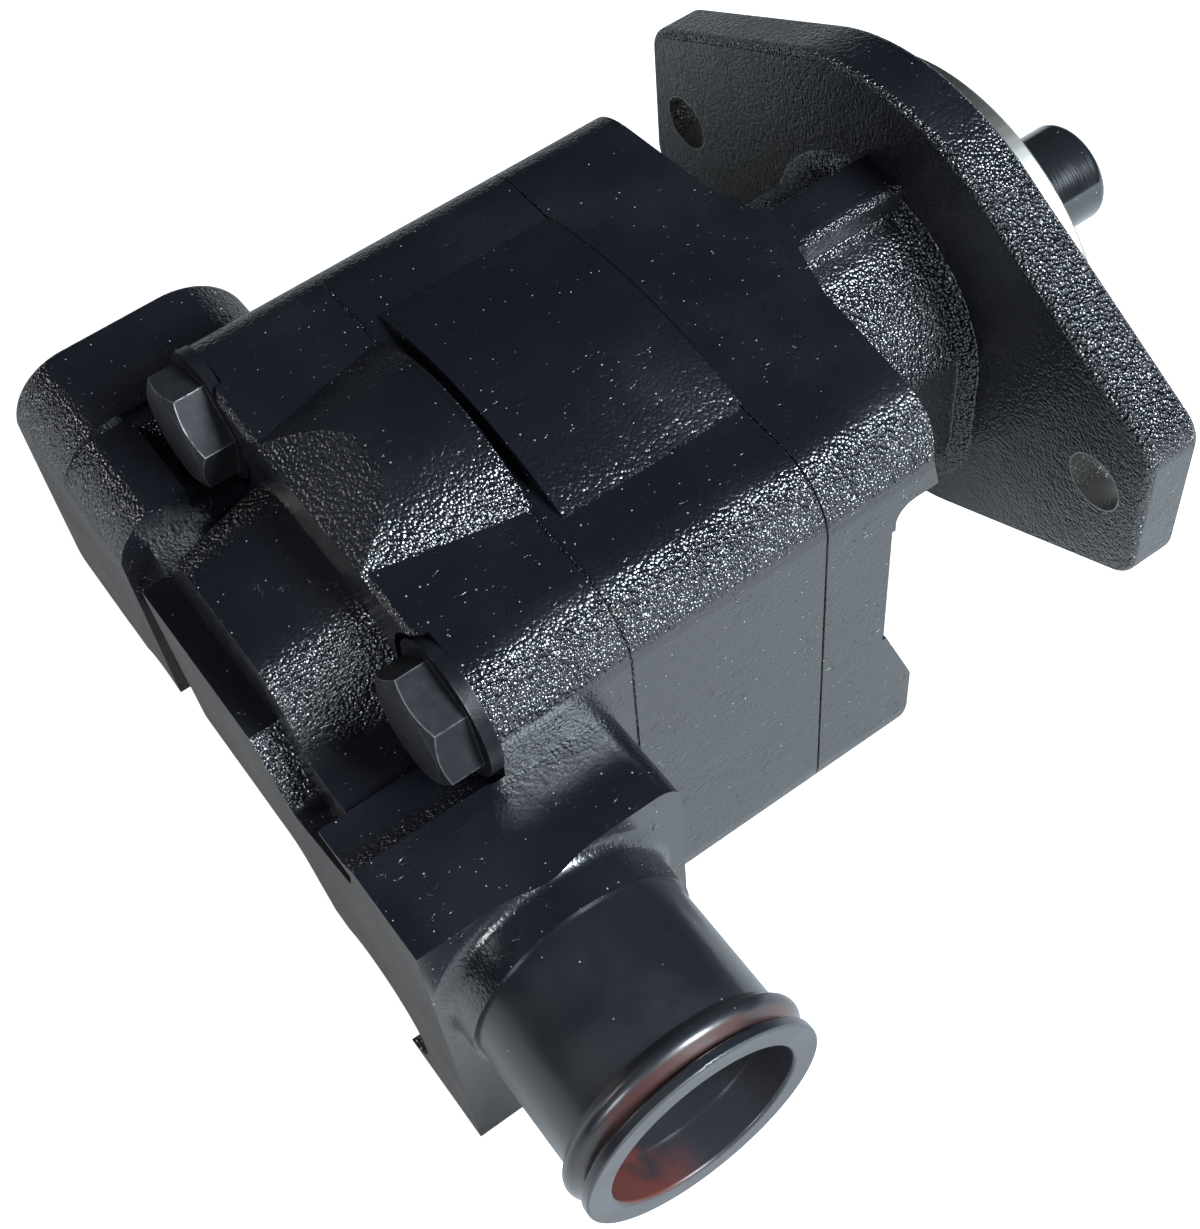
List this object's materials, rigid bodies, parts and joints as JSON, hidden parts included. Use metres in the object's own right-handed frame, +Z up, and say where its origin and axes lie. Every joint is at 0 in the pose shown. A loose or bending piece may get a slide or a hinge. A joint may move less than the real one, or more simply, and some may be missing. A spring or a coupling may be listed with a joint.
{
  "type": "hydraulic gear pump",
  "caption": "External gear pump with a two-bolt mounting flange, keyed drive shaft, side hose stub and a threaded outlet port.",
  "frame": {"origin": "on the drive shaft axis, in the front face of the mounting flange", "axes": "+X along the drive shaft, out of its free end; +Z up, from the driven gear to the drive gear; the hose stub points along -Y"},
  "size_m": [0.244, 0.2259, 0.1459],
  "materials": {
    "painted_casting": "gloss black paint over a pebbled iron casting",
    "painted_tube": "smooth satin black paint",
    "shaft_steel": "glossy black steel",
    "screw_steel": "black oxide steel",
    "gear_steel": "ground steel",
    "bearing_bronze": "bearing bronze",
    "seal_rubber": "matt black rubber"
  },
  "bodies": {
    "pump": {"shaft_end_cover": "painted_casting", "gear_housing": "painted_casting", "port_end_cover": "painted_casting", "thrust_plate_front": "bearing_bronze", "thrust_plate_rear": "bearing_bronze", "thrust_seal_front": "seal_rubber", "thrust_seal_rear": "seal_rubber", "bushing_drive_front": "bearing_bronze", "bushing_drive_rear": "bearing_bronze", "bushing_driven_front": "bearing_bronze", "bushing_driven_rear": "bearing_bronze", "body_seal_front": "seal_rubber", "body_seal_rear": "seal_rubber", "shaft_seal": "seal_rubber", "seal_retaining_ring": "gear_steel", "cap_screws": "screw_steel", "cap_screw_washers": "screw_steel", "dowel_pins_front": "gear_steel", "dowel_pins_rear": "gear_steel", "inlet_hose_stub": "painted_tube", "inlet_o_ring": "seal_rubber"},
    "drive": {"drive_shaft": "shaft_steel", "shaft_key": "gear_steel"},
    "driven": {"driven_gear": "gear_steel"}
  },
  "joints": [
    {"name": "drive_spin", "type": "hinge", "parent": "pump", "child": "drive", "pos_m": [0, 0, 0], "axis": [1, 0, 0], "continuous": true},
    {"name": "driven_spin", "type": "hinge", "parent": "pump", "child": "driven", "pos_m": [0, 0, -0.0444], "axis": [1, 0, 0], "continuous": true}
  ],
  "couplings": [
    {"joint": "driven_spin", "follows": "drive_spin", "ratio": -1}
  ]
}
